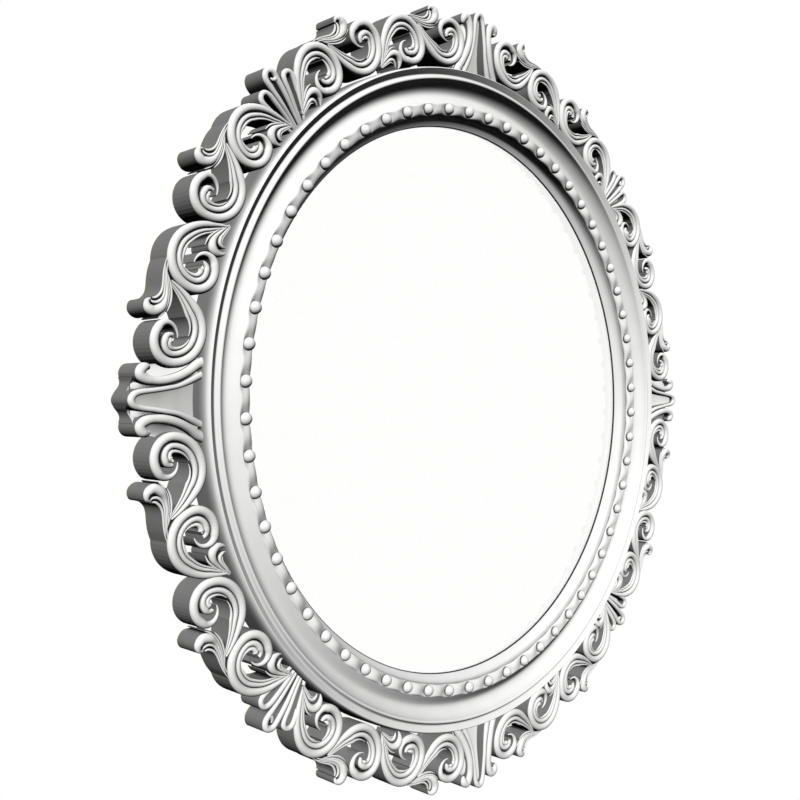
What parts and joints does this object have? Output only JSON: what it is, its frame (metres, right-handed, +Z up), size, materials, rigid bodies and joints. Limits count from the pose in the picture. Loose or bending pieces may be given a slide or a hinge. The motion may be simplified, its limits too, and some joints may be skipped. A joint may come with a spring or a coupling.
{
  "type": "round carved picture frame",
  "caption": "Round carved picture frame: a moulded ring with a bead course and a pierced border of scrolls, palmettes and fans, with glass, back, turn buttons and hangers.",
  "frame": {"origin": "on the ring's axis, in the plane of its flat back", "axes": "+Z up, +Y out of the back towards the wall, so the front faces -Y"},
  "size_m": [0.7138, 0.0357, 0.7138],
  "materials": {
    "silvered_wood": "satin silver leaf on carved wood",
    "picture_glass": "clear float glass",
    "white_card": "plain matt card",
    "hardboard": "smooth brown hardboard",
    "plated_steel": "nickel plated",
    "felt": "dark grey wool felt"
  },
  "bodies": {
    "frame": {"moulding_ring": "silvered_wood", "bead_course": "silvered_wood", "glass_pane": "picture_glass", "picture_card": "white_card", "backing_board": "hardboard", "palmette_1": "silvered_wood", "palmette_2": "silvered_wood", "palmette_3": "silvered_wood", "palmette_4": "silvered_wood", "fan_1": "silvered_wood", "fan_2": "silvered_wood", "fan_3": "silvered_wood", "fan_4": "silvered_wood", "scroll_1": "silvered_wood", "scroll_2": "silvered_wood", "scroll_3": "silvered_wood", "scroll_4": "silvered_wood", "scroll_5": "silvered_wood", "scroll_6": "silvered_wood", "scroll_7": "silvered_wood", "scroll_8": "silvered_wood", "scroll_9": "silvered_wood", "scroll_10": "silvered_wood", "scroll_11": "silvered_wood", "scroll_12": "silvered_wood", "scroll_13": "silvered_wood", "scroll_14": "silvered_wood", "scroll_15": "silvered_wood", "scroll_16": "silvered_wood", "turn_button_screw_1": "plated_steel", "turn_button_screw_2": "plated_steel", "turn_button_screw_3": "plated_steel", "turn_button_screw_4": "plated_steel", "hanger_strap_1": "plated_steel", "hanger_strap_2": "plated_steel", "hanger_screw_1": "plated_steel", "hanger_screw_2": "plated_steel", "wall_bumper_1": "felt", "wall_bumper_2": "felt"},
    "turn_button_1": {"turn_button_1": "plated_steel"},
    "turn_button_2": {"turn_button_2": "plated_steel"},
    "turn_button_3": {"turn_button_3": "plated_steel"},
    "turn_button_4": {"turn_button_4": "plated_steel"},
    "hanger_ring_1": {"hanger_ring_1": "plated_steel"},
    "hanger_ring_2": {"hanger_ring_2": "plated_steel"}
  },
  "joints": [
    {"name": "turn_button_1_pivot", "type": "hinge", "parent": "frame", "child": "turn_button_1", "pos_m": [0, 0.0013, 0.264], "axis": [0, 1, 0], "continuous": true},
    {"name": "turn_button_2_pivot", "type": "hinge", "parent": "frame", "child": "turn_button_2", "pos_m": [0.264, 0.0013, 0], "axis": [0, 1, 0], "continuous": true},
    {"name": "turn_button_3_pivot", "type": "hinge", "parent": "frame", "child": "turn_button_3", "pos_m": [0, 0.0013, -0.264], "axis": [0, 1, 0], "continuous": true},
    {"name": "turn_button_4_pivot", "type": "hinge", "parent": "frame", "child": "turn_button_4", "pos_m": [-0.264, 0.0013, 0], "axis": [0, 1, 0], "continuous": true},
    {"name": "hanger_ring_1_swing", "type": "hinge", "parent": "frame", "child": "hanger_ring_1", "pos_m": [-0.2122, 0.00335, 0.17805], "axis": [1, 0, 0], "range_deg": [0, 180]},
    {"name": "hanger_ring_2_swing", "type": "hinge", "parent": "frame", "child": "hanger_ring_2", "pos_m": [0.2122, 0.00335, 0.17805], "axis": [1, 0, 0], "range_deg": [0, 180]}
  ]
}
